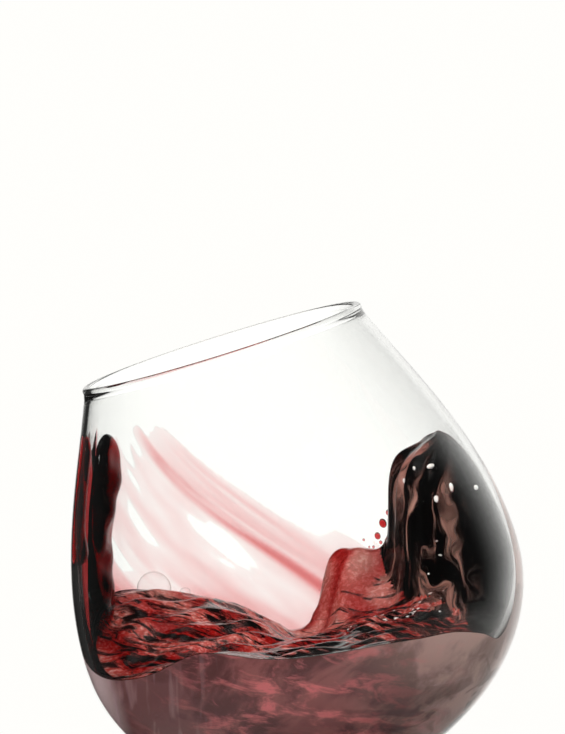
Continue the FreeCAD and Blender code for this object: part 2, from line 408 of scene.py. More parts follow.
# %% [markdown]
# ## The wine
#
# Wine is water with dye in it: it reflects and bends light like water, with no colour at its skin. All
# its colour comes from depth. Volume Absorption takes away a share of each colour for every metre that
# light travels inside, and red survives longest: after a millimetre and a half about half of the red is
# left and hardly any green or blue. A tinted surface would be simpler, but the thin run, the film on the
# wall and the deep pool would then all have one colour. The bump is the shiver of a surface that has just
# been hit.

# %% Red wine
wine_recipe = new_finish("red_wine")
spot = wine_recipe.place()
across_the_swirl = wine_recipe.stretched(spot, (160.0, 260.0, 160.0), (0, 0, radians(-30)))
shiver = wine_recipe.noise(across_the_swirl, 1.0, 3.0, 0.55)
wine_recipe.set(
    Base_Color=(1, 1, 1, 1), Transmission_Weight=1.0, IOR=1.345, Roughness=shiver.smooth(0.6, 0.9) * 0.02)
wine_recipe.bump(shiver, 0.18, 0.0006)
dye = wine_recipe.node(
    "ShaderNodeVolumeAbsorption", None, {"Color": (0.80, 0.012, 0.03, 1), "Density": 2300.0})
wine_recipe.set("Material Output", Volume=dye)
red_wine = wine_recipe.owner
print("finish", red_wine.name)

# %% [markdown]
# ## Blow and draw the glass
#
# The glass is one turned piece. Its profile runs from the hollow under the foot, up the stem and the
# outside of the bowl, over the bead at the lip and down the inside. The two walls are separate curves a
# wall's thickness apart, because the eye reads the glass by how its two faces bend light differently. A
# thickness modifier on one curve would be shorter, but it could not thicken the wall towards the base as
# a drawn stem does.


# %% Turn the glass
def wall_poles(inset, belly_inset, base_z):
    """Bezier poles of the bowl's wall, from the lip to the belly and from the belly to the axis."""
    lip = (rim_radius - inset, lip_height)
    belly = (belly_radius - belly_inset, belly_height)
    upper, lower = lip_height - belly_height, belly_height - base_z
    lip_side = (lip[0] + rim_opening * rim_handle * upper, lip_height - rim_handle * upper)
    shoulder = (belly[0], belly_height + shoulder_handle * upper)
    hip = (belly[0], belly_height - hip_handle * lower)
    return [lip, lip_side, shoulder, belly], [belly, hip, (base_handle * belly[0], base_z), (0, base_z)]


wall_points = 400
outer_upper, outer_lower = (bezier(poles, wall_points) for poles in wall_poles(0, 0, base_height))
inner_poles = wall_poles(rim_wall, belly_wall, inner_base_height)
inner_upper, inner_lower = (bezier(poles, wall_points) for poles in inner_poles)
joint_at = int(round(stem_join * (wall_points - 1)))
joint = outer_lower[joint_at]
along = outer_lower[joint_at + 1] - outer_lower[joint_at - 1]
along = along / np.linalg.norm(along)
to_stem = (joint[0] - stem_radius) / abs(along[0])
stem_head = np.array([stem_radius, base_height - neck_length])
stem_side = (stem_radius, joint[1] - (joint[1] - stem_head[1]) * neck_fullness)
ring_outer = foot_radius - foot_edge / 2
ring_inner = ring_outer - resting_ring
foot_top = foot_rise + foot_radius * cone_head
cone = [
    (ring_outer, foot_edge), (foot_radius * cone_waist, foot_edge + foot_rise * cone_fullness),
    (stem_radius, foot_rise), (stem_radius, foot_top)]
bead_centre = (rim_radius - rim_wall / 2, bead_height)
bead_turn = np.degrees(atan2(lip_height - bead_height, rim_wall / 2))

profile = np.vstack([
    bezier([(0, foot_hollow), (ring_inner / 2, foot_hollow), (ring_inner, 0)], 14),
    np.linspace((ring_inner, 0), (ring_outer, 0), 4)[1:],
    arc((ring_outer, foot_edge / 2), foot_edge / 2, -90, 90, 9)[1:],
    bezier(cone, 30)[1:],
    np.linspace((stem_radius, foot_top), stem_head, 8)[1:],
    bezier([stem_head, stem_side, joint + along * to_stem * (1 - neck_fullness), joint], 22)[1:],
    outer_lower[joint_at::-9][1:-1],
    outer_upper[::-10],
    arc(bead_centre, bead_radius, bead_turn, 180 - bead_turn, 15)[1:-1],
    inner_upper[::10],
    inner_lower[9::9],
])
profile[-1] = (0, inner_base_height)
profile[0] = (0, foot_hollow)
glass = turned("wine_glass", profile, 192, clear_glass, "clear_glass")
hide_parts("glass")

# %% [markdown]
# ## The wine's surface
#
# The surface is a height over every point of the table, added up from a few simple shapes: a sloping
# level, the surge with its folds, the bank on the left, the trough at the back, a splash, hollows and
# crossing ripples. The same sum with the same sizes made the solid, and here finer detail joins it: tight
# folds that hang down the surge like a curtain, and small sharp ripples. A liquid simulation could make
# such waves, but not these ones.


# %% Heights of the surface
def in_frame_of(azimuth, x, y):
    """A point's distances along a direction and to the left of it."""
    turn = radians(azimuth)
    return x * cos(turn) + y * sin(turn), y * cos(turn) - x * sin(turn)


def hump(distance, size):
    """1 at no distance, falling to 0 like a bell."""
    return np.exp(-((distance / size) ** 2))


def surge_frame(x, y):
    """How far a point is from the surge's crest, as a share of its reach, and the angle round the crest."""
    along, across = in_frame_of(surge_azimuth, x, y)
    reach, spread = (belly_inside - along) / surge_reach, across / surge_half_width
    return np.hypot(reach, spread), np.arctan2(spread, reach)


def mound(azimuth, out, size, rise, x, y):
    """A round hill, or a hollow if the rise is negative."""
    along, across = in_frame_of(azimuth, x, y)
    return rise * hump(np.hypot(along - out, across), size)


def ripples(x, y, away):
    """Crossing trains of small waves that die out at the wall and at the surge's crest."""
    total = 0.0
    for azimuth, length_share, depth_share in ripple_trains:
        along, across = in_frame_of(azimuth, x, y)
        bend = ripple_bend * np.sin(across / ripple_bend_length + azimuth)
        phase = 2 * pi * along / (length_share * ripple_length) + bend + azimuth
        total = total + depth_share * np.sin(phase)
    calm_wall = 1 - hump(np.maximum(belly_inside - np.hypot(x, y), 0.0), ripple_rim)
    return ripple_depth * total * calm_wall * (1 - hump(away, 1.0))


print(f"a hump is {hump(1.0, 1.0):.2f} high at its size and {hump(2.0, 1.0):.2f} at twice that")

# %% [markdown]
# The sum itself. Each line adds one thing that the wine does, so any of them can be left out or moved to
# see what it does.


# %% The level and the fine detail
def level(x, y):
    """The surface that the solid has."""
    away, turn = surge_frame(x, y)
    face = 0.5 * (1 + np.tanh((surge_steepest - away) / surge_softness))
    folds = fold_depth * np.sin(fold_count * turn + fold_twist * away) * hump(away - fold_place, fold_spread)
    bank_along, bank_across = in_frame_of(bank_azimuth, x, y)
    return (
        rim_height - fill_below_rim - level_slope * x
        + face * (surge_rise + surge_crest * np.maximum(0.0, 1 - away)) + folds
        + bank_rise * hump(belly_inside - bank_along, bank_reach) * hump(bank_across, bank_reach)
        - trough_depth * hump(x, trough_half_width) * hump(belly_inside - y, trough_length)
        + mound(splash_azimuth, splash_out, splash_size, splash_rise, x, y)
        + mound(dip_azimuth, belly_inside, dip_size, -dip_depth, x, y)
        + mound(hollow_azimuth, belly_inside, hollow_size, -hollow_depth, x, y)
        + mound(swell_azimuth, belly_inside, swell_size, swell_rise, x, y)
        + ripples(x, y, away))


def fine_detail(x, y):
    """Folds and ripples too fine for the solid, from waves whose phases wander."""
    away, turn = surge_frame(x, y)
    wander = 1.3 * np.sin(0.21 * x + 0.13 * y) + 0.9 * np.sin(0.11 * x - 0.29 * y + 2.0)
    curtain = np.sin(19 * turn + 3.0 * away + wander) + 0.6 * np.sin(31 * turn - 2.0 * away + 2 * wander)
    curtain = curtain * hump(away - 0.80, 0.30) * 0.42
    chop = 0.0
    for azimuth, length, share in ((-50, 4.6, 1.0), (-74, 3.7, 0.8), (-20, 5.3, 0.7), (33, 3.1, 0.4)):
        along, across = in_frame_of(azimuth, x, y)
        chop = chop + share * np.sin(2 * pi * along / length + 2.4 * np.sin(across / 5.5 + wander))
    gust = 0.5 + 0.5 * np.sin(0.16 * x + 0.07 * y + wander)
    return curtain + 0.11 * chop * gust * (1 - hump(away, 0.8))


middle_height = float(level(np.array(0.0), np.array(0.0)))
print(f"surface in the middle of the glass at {middle_height:.1f} mm")

# %% [markdown]
# ## Fill the bowl
#
# The wine is built as rings round the axis. For each direction the outermost ring lies where the surface
# meets the wall, found by walking outwards until the wall is nearer than the point. Cutting a block of
# wine with the glass's own shape would fill it too, but rings give the mesh an even edge along the wall.


# %% Where the surface meets the wall
wall = np.vstack([inner_upper, inner_lower[1:]])
slope = np.gradient(wall, axis=0)
wall_out = np.stack([-slope[:, 1], slope[:, 0]], 1)
wall_out = wall_out / np.linalg.norm(wall_out, axis=1)[:, None]
wall_out[-1] = (0, -1)
wall_index = np.arange(len(wall), dtype=float)


def wall_at_height(z):
    """The place on the wall curve, counted in its points, at a height."""
    return np.interp(-np.asarray(z), -wall[:, 1], wall_index)


def on_wall(index, inward):
    """(radius, height) at a place on the wall curve, moved inward from the wall."""
    r = np.interp(index, wall_index, wall[:, 0]) - inward * np.interp(index, wall_index, wall_out[:, 0])
    z = np.interp(index, wall_index, wall[:, 1]) - inward * np.interp(index, wall_index, wall_out[:, 1])
    return r, z


around, probe_steps = 384, 700
angles = np.linspace(0, 2 * pi, around, endpoint=False)
probe = np.linspace(1.0, belly_inside, probe_steps)
probe_x, probe_y = np.outer(np.cos(angles), probe), np.outer(np.sin(angles), probe)
wall_radius_there = np.interp(wall_at_height(level(probe_x, probe_y)), wall_index, wall[:, 0])
crossed = np.argmax(wall_radius_there - probe < 0, axis=1)
crossed[crossed == 0] = len(probe) - 1
contact = probe[crossed]
print(f"the surface meets the wall {contact.min():.1f} to {contact.max():.1f} mm from the axis")

# %% [markdown]
# The rings crowd together near the wall, where the surface rises in a meniscus: wine clings to glass and
# creeps up it a little, which gives a real drink its bright edge. Below the last ring the sides follow
# the wall down to the bowl's base, a hair inside the glass. If a film of air were left between wine and
# glass, both faces would mirror, and the wine would look like a stone in a jar.

# %% Rings of the surface and of the sides
rings, edge_rings, crowding = 96, 14, 1.4
side_rows = 64
still_zone = 2.5  # fine ripples die out this near the wall
meniscus_reach = 0.6
even_part = np.linspace(0, 1, rings - edge_rings + 2)[1:-1]
edge_part = 1 - np.linspace(1 / (rings - edge_rings + 1), 0, edge_rings) ** crowding
share = np.unique(np.clip(np.concatenate([even_part, edge_part]), 0, 1))


def ring_points(shares):
    """x and y of rings at shares of the way from the axis to the wall."""
    r = np.outer(shares, contact)
    return r * np.cos(angles), r * np.sin(angles)


def surface_points(shares, sink=0.0):
    """Rings of points on the wine's surface, or that much below it."""
    x, y = ring_points(shares)
    gap = contact - np.outer(shares, contact)
    z = level(x, y) + fine_detail(x, y) * (1 - hump(gap, still_zone))
    return np.stack([x, y, z + meniscus * np.exp(-gap / meniscus_reach) - sink], -1)


def on_surface(x, y, lift=0.0):
    """One point on the surface, away from the wall."""
    x, y = np.array(float(x)), np.array(float(y))
    return float(x), float(y), float(level(x, y) + fine_detail(x, y)) + lift


top = surface_points(share)
edge_index = wall_at_height(top[-1, :, 2])
edge_r, edge_z = on_wall(edge_index, -into_wall)
top[-1] = spun(edge_r, edge_z, angles)
down = np.linspace(0, 1, side_rows + 1)[1:-1, None]
sides = spun(*on_wall(edge_index + (len(wall) - 1 - edge_index) * down, -into_wall), angles)
body = np.concatenate([top, sides]).reshape(-1, 3)
body_rows = len(body) // around
body_faces = grid_faces(body_rows, around, True) + list(caps(around, body_rows, len(body), len(body) + 1))
body = np.vstack([body, [on_surface(0, 0), (0, 0, inner_base_height - into_wall)]])
wine = make_solid("red_wine", body, body_faces, red_wine, "red_wine", 40)

# %% [markdown]
# ## Wine on the wall
#
# The stream that fed the glass hit the wall at the back left and still runs down it as a thick rope, and
# a thinner rivulet hangs by itself further left with a drop at its end. Both are pillows of liquid whose
# back lies on the glass: a width and a thickness at each height, with a round nose. A tube along a curve
# would be round all over, and liquid on a wall is flat behind.


# %% Pillows of liquid on the wall
def eased(count):
    """0 to 1 in steps that are short at both ends."""
    return 0.5 - 0.5 * np.cos(pi * np.linspace(0, 1, count))


def round_end(distance, length):
    """The width of a rounded tip, as a share, at distances from its end."""
    near = np.minimum(distance / length, 1.0)
    return np.maximum(np.sqrt(np.maximum(near * (2 - near), 0)), 0.02)


def pillow(azimuth, height, half_width, half_depth, across=33, back=0.1, wobble=None):
    """A closed sheet of liquid on the wall from its azimuth, width and depth at each height."""
    s = np.sin(np.linspace(-pi / 2, pi / 2, across))
    index = wall_at_height(height)[:, None]
    depth = half_depth[:, None] * np.sqrt(1 - s**2)[None, :]
    if wobble is not None:
        depth = depth * (1 + wobble(height[:, None], s[None, :]))
    r_wall = np.interp(index, wall_index, wall[:, 0])
    turn = np.radians(azimuth)[:, None] + half_width[:, None] * s[None, :] / r_wall
    front = spun(*on_wall(index + 0 * s, depth), turn)
    rear = spun(*on_wall(index + 0 * s, -back + 0 * depth), turn)
    return closed_sheet(front, rear, np.ones(depth.shape, bool))


print("a tip of 5 mm is", round_end(np.array([0.5, 2.0, 5.0]), 5.0).round(2), "wide at 0.5, 2 and 5 mm")

# %% [markdown]
# The rope thins as it falls and then flares where it meets the pool. It's welded to the pool with a
# Boolean union, so that the wine stays one body: where two bodies of liquid only overlap, the light
# counts the skin between them and draws a line through the wine.

# %% The run, welded to the pool
fall = eased(70)
run_top = rim_height - run_top_below_rim
run_length = run_top - belly_height - run_foot_above_belly
fallen = run_length * fall
size = round_end(fallen, run_nose) * (1 - (1 - run_waist) * fall)
flare = 1 + (run_flare - 1) * hump(run_length - fallen, run_flare_length)
run = make_solid("run", *pillow(
    run_top_azimuth + (run_foot_azimuth - run_top_azimuth) * fall, run_top - fallen,
    run_half_width * size * flare, run_half_depth * size * np.sqrt(flare),
    wobble=lambda z, s: 0.10 * np.sin(0.33 * z + 2.5 * s) + 0.06 * np.sin(0.8 * z - 3.0 * s)), red_wine)

union = wine.modifiers.new("union", "BOOLEAN")
union.operation, union.solver, union.object = "UNION", "MANIFOLD", run
merged = bpy.data.meshes.new_from_object(wine.evaluated_get(bpy.context.evaluated_depsgraph_get()))
wine.modifiers.clear()
wine.data = merged
wine.data.set_sharp_from_angle(angle=radians(40))
bpy.data.objects.remove(run)
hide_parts("wine")
print("wine after the union:", len(merged.vertices), "points")

# %% [markdown]
# The rivulet is the same pillow, thinner and by itself. It wanders a little as it falls, and swells into
# a drop just above its end.

# %% The drip
drip_fall = drip_length * eased(60)
left = drip_length - drip_fall
bulb = 1 + (drip_bulb - 1) * hump(left - drip_bulb_place, drip_bulb_length / 2)
size = round_end(drip_fall, drip_nose) * round_end(left, drip_bulb * drip_half_width) * bulb
drip = make_solid("drip_of_wine", *pillow(
    drip_azimuth + 1.1 * np.sin(drip_fall * 0.30), rim_height - drip_top_below_rim - drip_fall,
    drip_half_width * size, drip_half_depth * size, across=25), red_wine, "red_wine")
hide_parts("drip")

# %% [markdown]
# ## Froth
#
# A wave that has just broken is full of air. Swarms of tiny bubbles lie just under the skin of the pool,
# and they scatter light that the clear wine would swallow. Shallow froth looks salmon pink, froth a
# millimetre down looks deep red, and where there is none the wine is black. The pale streaks in the
# folds of the surge are painted reflections, drawn on such a sheet too.
# Thousands of modelled bubbles would be far too heavy, so each swarm is a thin sheet inside the wine, cut
# into wisps by the transparency of its material.


# %% A matt finish for froth
def froth_recipe(name, roughness=0.7):
    """A matt finish and the point on the piece in millimetres."""
    recipe = new_finish(name)
    recipe.set(Roughness=roughness, Specular_IOR_Level=0.2)
    return recipe, *(part * (1 / MM) for part in recipe.split(recipe.place()))


froth, x, y, z = froth_recipe("froth_in_the_pool")
print("finish", froth.owner.name)

# %% [markdown]
# The wisps are noise stretched along the way the wine turns. They're thickest beside the splash and on
# the left, and fade towards the near wall. Fine specks break them up. At the far side the sheet lies
# shallower, and its colour is also painted paler there: a painted highlight where the ripples catch the
# light.

# %% Froth in the pool, its finish
drift = froth.stretched(froth.joined(x, y, z), (0.055, 0.26, 0.16), (0, 0, radians(38)))
wisps = froth.noise(drift, 0.8, 5.0, 0.6, 1.8)
specks = froth.noise(froth.joined(x, y, z), 0.9, 3.0, 0.7, 0.5)
near_splash = ((x - 11.0) / 15.0) ** 2.0 + ((y - 32.0) / 14.0) ** 2.0
thick = (-near_splash).math("EXPONENT") * 0.20
leftward = 1.0 - x.smooth(-22.0, 14.0)
far_side = y.smooth(2.0, 30.0)
bias = thick + leftward * 0.02 + far_side * 0.04 - (1.0 - y.smooth(-40.0, -22.0)) * 0.09
cover = (wisps + bias).smooth(0.44, 0.60) * (specks * 0.9 + 0.40)
# painted highlight: the froth's colour turns pale pink towards the far side, where the ripples catch the
# light
froth_and_painted_highlight = froth.mix(far_side * 0.7, (0.80, 0.13, 0.10, 1), (0.97, 0.50, 0.42, 1))
froth.set(
    Base_Color=froth.mix(specks.smooth(0.48, 0.66) * 0.75, froth_and_painted_highlight, (1.0, 0.72, 0.64, 1)),
    Alpha=cover.math("MINIMUM", 1.0))
print("froth finish:", len(froth.tree.nodes), "nodes")

# %% [markdown]
# The sheet follows the surface a little way down, deeper and shallower in slow waves, so that the wine
# over it dyes the froth in patches from salmon to deep red. It stops short of the surge, which has its
# own.

# %% Froth in the pool, its sheet
pool_shares = share[share < 0.975]
x, y = ring_points(pool_shares)
away, turn = surge_frame(x, y)
deepest = 0.75 - 0.5 / (1 + np.exp(-(y - 12) / 6))
depth = 0.06 + deepest * (0.5 + 0.5 * np.sin(0.23 * x + 0.31 * y + 1.7 * np.sin(0.17 * x - 0.11 * y))) ** 2
in_splash = hump(np.hypot((x - 11) / 13, (y - 30) / 12), 1.0)
depth = depth + 0.6 * in_splash * (0.5 + 0.5 * np.sin(0.55 * x - 0.35 * y + 1.3 * np.sin(0.4 * y))) ** 2
outside_surge = (away > 1.02) & (x < 34)
make_sheet("froth_in_the_pool", surface_points(pool_shares, depth), outside_surge, froth.owner, True)

# %% [markdown]
# On the surge's left face the light catches its thin folds in streaks that fan out from the crest, like a
# pulled curtain. These streaks are painted reflections, on a matt sheet just under the wine's skin. The
# noise is laid out by the angle round the crest and the distance from it, and sways a little so that no
# streak is straight.

# %% Curtains in the surge
curtain, x, y, z = froth_recipe("painted_reflections_in_the_surge")
surge_cos, surge_sin = cos(radians(surge_azimuth)), sin(radians(surge_azimuth))
reach = (belly_inside - (x * surge_cos + y * surge_sin)) / surge_reach
spread = (y * surge_cos - x * surge_sin) / surge_half_width
turn = spread.math("ARCTAN2", reach)
away = (reach * reach + spread * spread) ** 0.5
sway = curtain.noise(curtain.joined(x * 0.06, y * 0.06, z * 0.05), 1.0, 2.0)
streaks_of_reflection = curtain.noise(curtain.joined(turn * 3.0 + sway * 3.4, away * 0.6, z * 0.03), 1.0, 5.0, 0.6, 0.7)
patches = curtain.noise(curtain.joined(x * 0.09, y * 0.09, z * 0.05), 1.0, 2.0)
near_end = turn.smooth(-1.45, -1.0)
cover = streaks_of_reflection.smooth(0.47, 0.60) * near_end * patches.smooth(0.30, 0.50) * (1.0 - x.smooth(34.0, 42.0))
# painted reflections: brown to pale streaks of light on the surge's folds, only on its left face
curtain.set(
    Base_Color=curtain.mix(streaks_of_reflection.smooth(0.55, 0.75), (0.60, 0.34, 0.27, 1), (1.0, 0.84, 0.72, 1)),
    Alpha=cover * 0.92)

surge_shares = share[:-3]
away, turn = surge_frame(*ring_points(surge_shares))
make_sheet("painted_reflections_in_the_surge", surface_points(surge_shares, 0.10), away < 1.12, curtain.owner, True)

# %% [markdown]
# ## The veil on the near glass
#
# Where churned wine presses against the glass it makes a dull mauve veil: too many bubbles to see one,
# too much wine to be white. It's a sheet just under the wine's skin, where that lies on the glass.
# Several noises of different stretch are laid over each other, the way a painter glazes: clouds first,
# then rakes, streaks and dark blots, and last a pale band along the left edge, which is a painted
# reflection.

# %% The veil's finish
veil, x, y, z = froth_recipe("veil_on_the_near_glass", 0.5)
spot = veil.joined(x, y, z)
cloud = veil.noise(veil.stretched(spot, (0.06, 0.06, 0.10), (0, radians(25), 0)), 1.0, 5.0, 0.6, 0.4)
rakes = veil.noise(veil.stretched(spot, (0.55, 0.1, 0.03), (0, radians(-14), 0)), 1.0, 2.0, 0.5)
streak = veil.noise(veil.stretched(spot, (0.09, 0.09, 0.24), (0, radians(-28), 0)), 1.0, 6.0, 0.68, 0.6)
blots = veil.noise(veil.stretched(spot, (0.07, 0.07, 0.16), (0, radians(-20), 0)), 1.0, 3.0, 0.5, 1.0)
to_right = x.smooth(-2.0, 34.0)
to_left = 1.0 - x.smooth(-34.0, -14.0)
low = 1.0 - z.smooth(107.0, 131.0)
shadow = veil.mix(to_right, (0.11, 0.045, 0.05, 1), (0.30, 0.235, 0.205, 1))
haze = veil.mix(to_right, (0.40, 0.16, 0.155, 1), (0.66, 0.54, 0.48, 1))
glazes = (
    (to_left, (0.23, 0.115, 0.115, 1)),
    (cloud.smooth(0.42, 0.60) * 0.8, shadow),
    (rakes.smooth(0.52, 0.7) * to_left * 0.5, (0.46, 0.30, 0.32, 1)),
    (streak.smooth(0.48, 0.64) * x.band(-8.0, 22.0) * 0.85, (0.98, 0.30, 0.31, 1)),
    (blots.smooth(0.48, 0.58) * low * 0.85, (0.06, 0.025, 0.03, 1)),
    # painted reflection: a pale band along the veil's left edge, where the glass mirrors the bright room
    ((1.0 - x.smooth(-47.5, -42.0)) * 0.85, (0.95, 0.88, 0.90, 1)))
for cover, colour in glazes:
    haze = veil.mix(cover, haze, colour)
veil.set(Base_Color=haze, Alpha=(0.97 - low * 0.2) * (1.0 - (y + cloud * 12.0).smooth(10.0, 30.0)))
print("veil finish:", len(veil.tree.nodes), "nodes")

# %% [markdown]
# The sheet covers the near two thirds of the wall under the wine's edge. It starts a hair below the edge,
# so that the meniscus over it stays clear.

# %% The veil's sheet
veil_from, veil_to, veil_steps, veil_rows, bare_base, edge_margin = 146, 394, 360, 60, 30, 0.6
near = np.radians(np.linspace(veil_from, veil_to, veil_steps))
all_round, edge_all_round = np.append(angles, 2 * pi), np.append(edge_index, edge_index[0])
top_line = np.interp(np.mod(near, 2 * pi), all_round, edge_all_round) + edge_margin
down = np.linspace(0, 1, veil_rows)[:, None]
index = top_line + (len(wall) - bare_base - top_line) * down
veil_grid = spun(*on_wall(index, -0.10), near)
make_sheet("veil_on_the_near_glass", veil_grid, np.ones(index.shape, bool), veil.owner)

# %% [markdown]
# ## The film on the far wall
#
# When the wave ran back it left a film of wine on the wall, thin enough to be pink: hundredths of a
# millimetre in the mist, half a millimetre in the long streak. It's made of the same wine, as a closed
# sheet, so its colour comes out of its thickness by itself. The first cell lays a grid over that part of
# the wall.


# %% A grid over the far wall
def rough(x, y, z, octaves=3):
    """Smooth noise of about -1 to 1 at every point of three arrays."""
    return np.vectorize(lambda a, b, c: noise.fractal(Vector((a, b, c)), 0.9, 2.0, octaves))(x, y, z)


def ramp(start, length, at):
    """0 before the start, 1 a length later, straight between."""
    return np.clip((at - start) / length, 0, 1)


film_from, film_to, film_columns, film_rows, film_top = 60.0, 190.0, 280, 140, 8.0
streak_azimuth, streak_below_rim, streak_fall = 128.4, 17.0, 1.03  # where the long streak is, and its slope
degrees = np.linspace(film_from, film_to, film_columns)
far = np.radians(degrees)
pool_line = np.interp(far, angles, edge_index)
high_line = wall_at_height(rim_height - film_top)
index = high_line + (pool_line + 3.0 - high_line) * np.linspace(0, 1, film_rows)[:, None]
height = np.interp(index, wall_index, wall[:, 1])
above = height - rim_height + streak_below_rim + (streak_azimuth - degrees) * streak_fall
over_pool = height - np.interp(pool_line, wall_index, wall[:, 1])
print("film grid", height.shape, f"from {height.min():.0f} to {height.max():.0f} mm up")

# %% [markdown]
# The thickness is a sum again: streaks along the line that the wave's edge took, a wash under them, a
# mist over the pool and a skirt round the thick run. Noise breaks each one up. Where the sum is next to
# nothing, there is no mesh, because even a film without colour would show its edge.

# %% The film's thickness and its sheet
drying_edge = 0.035
film_lift, film_back = 0.05, 0.062  # how deep the sheet's two sides lie in the glass
swept = ramp(0, 42.0, streak_azimuth - degrees) + 0 * height
grain = np.clip(0.5 + rough(above * 0.30, degrees * 0.02 + 0 * height, 0 * height, 5), 0, 1)
cloudy = np.clip(0.5 + rough(above * 0.09, degrees * 0.035 + 0 * height, 3 + 0 * height), 0, 1)
streaks = 0.42 * hump(above + 0.5, 1.6) + 0.30 * swept * (hump(above - 2.6, 2.8) + hump(above - 8.5, 2.6))
streaks = streaks * (0.25 + grain) * ramp(68, 12, degrees) * ramp(0, 10, rim_height - 13 - height)
wash = 0.12 * cloudy * ramp(0, 14, 12 - above) * ramp(0, 14, rim_height - 9 - height)
wash = wash + 0.08 * swept * hump(above - 4, 9)
mist = (0.28 + 0.3 * hump(degrees - 84, 14)) * np.exp(-np.maximum(over_pool, 0) / 5.0) * (0.3 + cloudy)
fade = ramp(film_from, 6, degrees) * ramp(0, 6, film_to - degrees)
skirt = 0.9 * hump(np.maximum(np.abs(degrees - 173.0 - 0.8 * np.sin(0.15 * height)) - 10.0, 0), 2.2)
skirt = skirt * ramp(0, 5, rim_height - 12 - 2.5 * np.sin(0.5 * degrees) - height)
thickness = (streaks + wash + mist) * fade + skirt
film_front = spun(*on_wall(index, thickness - film_lift), far)
film_rear = spun(*on_wall(index, -film_back + 0 * thickness), far)
film = closed_sheet(film_front, film_rear, thickness > drying_edge)
make_solid("film_of_wine", *film, red_wine, sharp=80)

# %% [markdown]
# ## Beads, painted glints and bubbles
#
# The splash threw beads of wine on the glass beside it. They're small eggs of real wine that sit in the
# wall's face, most of them low down. A particle system could scatter them, but a loop with a fixed seed
# gives the same beads each time.


# %% Beads of wine
def ball(centre, radii, rows=10, columns=16):
    """Points and faces of an egg shape."""
    turn = np.linspace(0, 2 * pi, columns, endpoint=False)
    lift = np.linspace(-pi / 2, pi / 2, rows + 2)[1:-1, None]
    shape = np.vstack([spun(np.cos(lift), np.sin(lift), turn).reshape(-1, 3), [[0, 0, -1], [0, 0, 1]]])
    faces = grid_faces(rows, columns, True) + list(caps(columns, rows, rows * columns, rows * columns + 1))
    return shape * np.array(radii) + np.array(centre), faces


def joined_balls(name, balls, material):
    """Many eggs in one piece."""
    points, faces, count = [], [], 0
    for centre, radii in balls:
        ball_points, ball_faces = ball(centre, radii)
        points.append(ball_points)
        faces += [[count + i for i in face] for face in ball_faces]
        count += len(ball_points)
    return make_solid(name, np.vstack(points), faces, material, sharp=80)


bead_count, bead_spread, bead_sinking = 26, 9.0, 1.6
chance = np.random.default_rng(7)
beads = []
for k in range(bead_count):
    azimuth, size = radians(chance.uniform(58, 84)), chance.uniform(0.25, 0.75)
    foot = float(np.interp(azimuth, angles, edge_z))
    r, z = on_wall(wall_at_height(foot + 1.0 + bead_spread * chance.random() ** bead_sinking), 0.3 * size)
    beads.append(((r * cos(azimuth), r * sin(azimuth), z), (size, size, size * 1.15)))
flying_beads = ((23.1, 42.2, -53.0, 0.9), (25.0, 41.0, -51.0, 0.6), (21.0, 43.2, -55.5, 0.7))
for x, y, below_rim, size in flying_beads:
    beads.append(((x, y, rim_height + below_rim), (size, size, size * 1.2)))
joined_balls("beads_of_wine", beads, red_wine)

# %% [markdown]
# Where the surge folds over, small white grains sit on the wine: they are painted glints, standing for the
# bright lights on the folds. Six larger ones are listed, and the small ones are strewn along the fold.

# %% Painted glints on the surge
painted_glint_finish = new_finish("painted_glints_on_the_surge")
speck = painted_glint_finish.noise(painted_glint_finish.place(), 900.0, 2.0)
# painted highlights: near-white grains that stand for the small bright glints on the wine
painted_glint_finish.set(
    Base_Color=painted_glint_finish.mix(speck.smooth(0.4, 0.6), (0.92, 0.84, 0.80, 1), (1, 1, 1, 1)), Roughness=0.35)
large_painted_glints = (
    (36.6, 5.4, 0.9, 0.55), (39.3, -3.1, 0.45, 1.1), (35.5, -0.1, 0.6, 0.8), (44.3, -5.0, 0.5, 0.6),
    (30.1, 10.8, 0.4, 0.6), (33.0, 8.0, 0.3, 0.5))
glint_balls = [(on_surface(x, y), (width, width, tall)) for x, y, width, tall in large_painted_glints]
small_glint_count, fold_start, fold_slope = 40, 4.5, 0.36
for k in range(small_glint_count):
    x, size = chance.uniform(8, 34), chance.uniform(0.08, 0.24)
    place = on_surface(x, fold_start - fold_slope * (x - 8) + chance.normal(0, 2.0))
    glint_balls.append((place, (size * chance.uniform(1, 2.6), size, size * 0.7)))
joined_balls("painted_glints_on_the_surge", glint_balls, painted_glint_finish.owner)

# %% [markdown]
# Two bubbles float at the back of the pool. A bubble's skin is clear face on and shows at its outline, so
# its transparency follows the angle at which it is seen, through a Layer Weight node.

# %% Bubbles
bubble_finish = new_finish("skin_of_a_bubble")
edge = bubble_finish.node("ShaderNodeLayerWeight", None, {"Blend": 0.5}, output="Facing")
swirl = bubble_finish.noise(bubble_finish.place(), 300.0, 3.0)
bubble_finish.set(
    Base_Color=bubble_finish.mix(swirl.smooth(0.4, 0.6), (0.75, 0.35, 0.33, 1), (0.95, 0.72, 0.70, 1)),
    Roughness=0.04, Alpha=edge**4.0 * 0.75 + 0.04)
bubbles = [(on_surface(-31.5, 32.0, 0.6), (4.0, 4.0, 4.0)), (on_surface(-25.0, 36.0, 0.2), (1.3, 1.3, 1.2))]
joined_balls("bubble", bubbles, bubble_finish.owner)

# %% [markdown]
# ## Camera, floor and light
#
# The glass is seen from a little above its rim with a long lens, and the camera is turned in its own
# plane, so the glass leans in the picture while it stands upright on the table. Tipping the glass would
# give the same picture, but then it would not rest on its foot.

